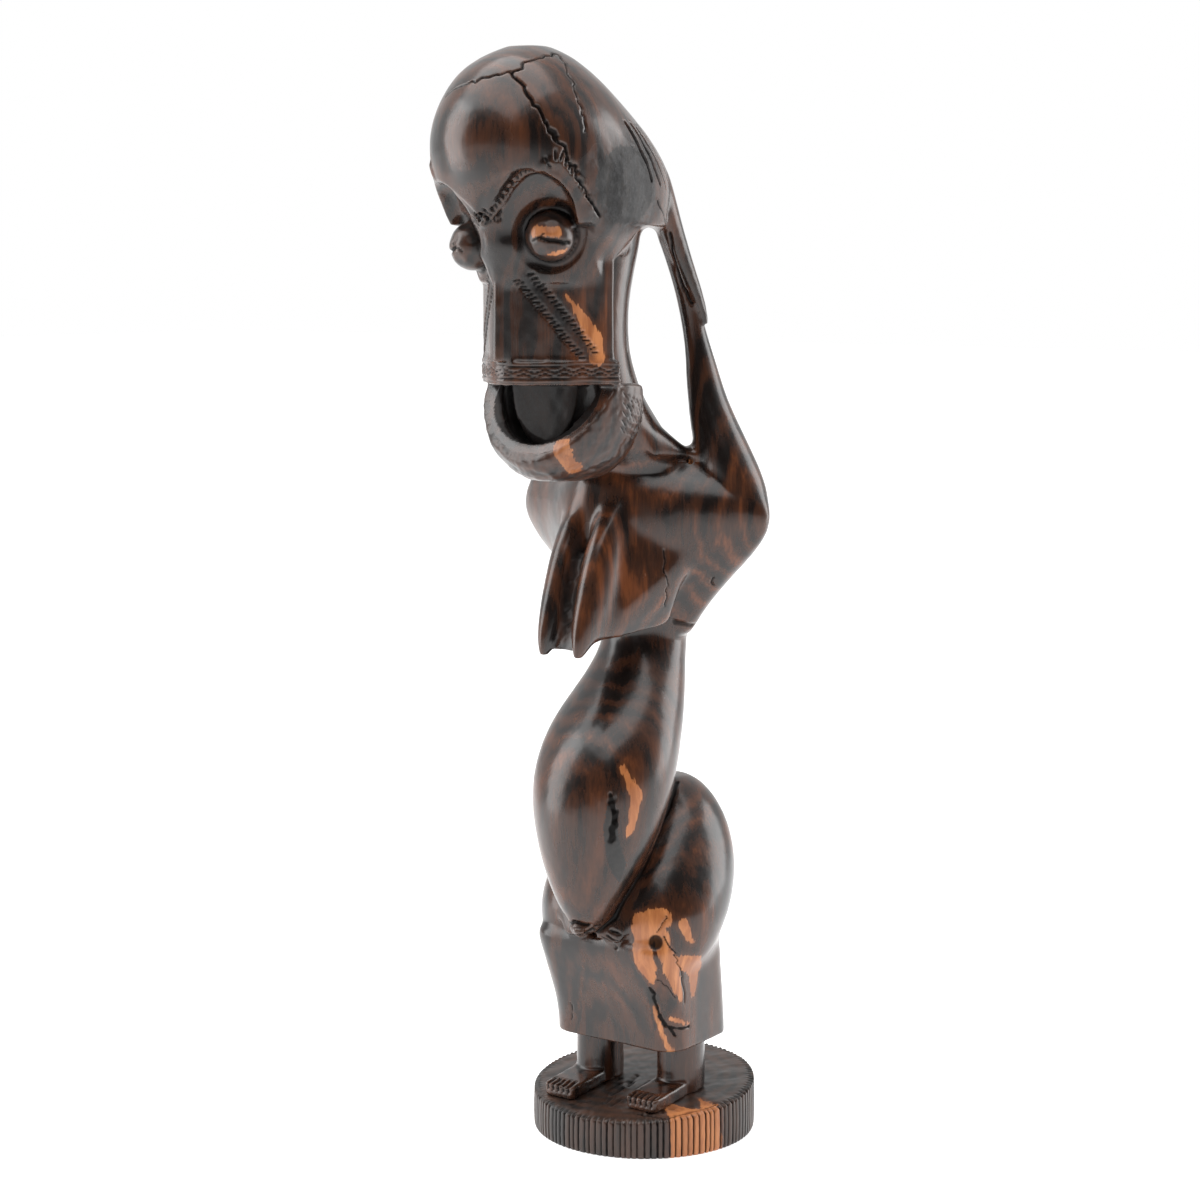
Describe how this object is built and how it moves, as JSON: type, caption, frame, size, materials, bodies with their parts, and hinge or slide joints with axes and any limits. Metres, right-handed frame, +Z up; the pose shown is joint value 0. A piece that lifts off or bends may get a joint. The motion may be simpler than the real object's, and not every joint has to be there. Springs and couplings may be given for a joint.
{
  "type": "carved wooden figure",
  "caption": "Squatting figure carved from one dark hardwood log, arms raised behind a large domed head with an open mouth, on a round notched plinth.",
  "frame": {"origin": "middle of the plinth's flat underside", "axes": "+Z up, the figure faces -Y, its own left side is +X"},
  "size_m": [0.1306, 0.1766, 0.4739],
  "materials": {
    "polished_wood": "waxed and polished dark heartwood with orange sapwood patches",
    "plinth_wood": "dark waxed wood, gouged round the rim",
    "putty": "rough grey-black putty",
    "resin": "hard glossy black resin"
  },
  "bodies": {
    "root": {"belly": "polished_wood", "belly_fill": "resin", "chest": "polished_wood", "face": "polished_wood", "head_fill": "putty", "jaw": "polished_wood", "left_ankle": "polished_wood", "left_breast": "polished_wood", "left_eye": "polished_wood", "left_foot": "polished_wood", "left_forearm": "polished_wood", "left_hair_lock": "polished_wood", "left_thigh": "polished_wood", "left_upper_arm": "polished_wood", "navel": "polished_wood", "neck": "polished_wood", "nose": "polished_wood", "plinth": "plinth_wood", "right_ankle": "polished_wood", "right_breast": "polished_wood", "right_eye": "polished_wood", "right_foot": "polished_wood", "right_forearm": "polished_wood", "right_hair_lock": "polished_wood", "right_thigh": "polished_wood", "right_upper_arm": "polished_wood", "shin_block": "polished_wood", "shin_fill": "resin", "skull": "polished_wood", "tongue": "polished_wood", "upper_lip": "polished_wood"}
  },
  "joints": []
}
